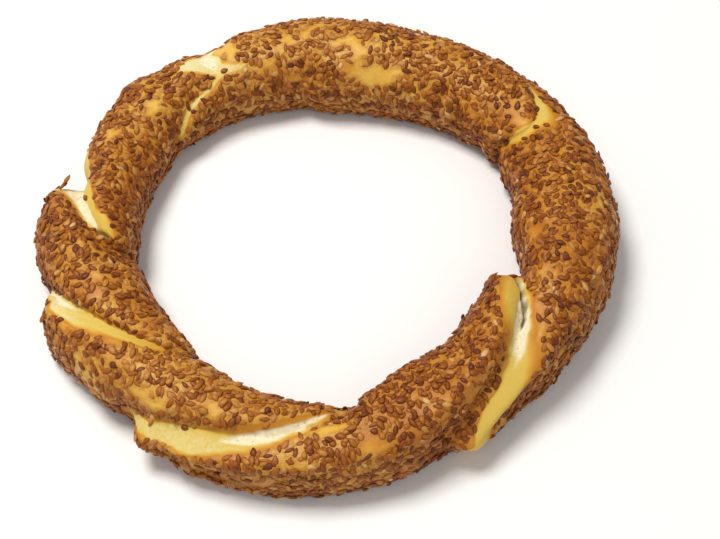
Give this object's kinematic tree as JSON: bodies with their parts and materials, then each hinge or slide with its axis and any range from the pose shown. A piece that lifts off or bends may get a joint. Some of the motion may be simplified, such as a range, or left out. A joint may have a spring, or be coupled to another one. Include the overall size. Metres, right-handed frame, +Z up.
{
  "type": "simit",
  "caption": "Baked ring of two twisted dough strands with torn seams, thickly coated in sesame seeds, flat underneath, open in the middle.",
  "frame": {"origin": "middle of the object's box in plan, on the surface it lies on", "axes": "+Z up through the ring's hole, +X along the ring's widest direction; the strand's free tip over the hole points to about -30 degrees from +X"},
  "size_m": [0.1706, 0.1642, 0.0269],
  "materials": {
    "crust": "golden baked crust with toasted sesame"
  },
  "bodies": {
    "root": {"simit_ring": "crust"}
  },
  "joints": []
}
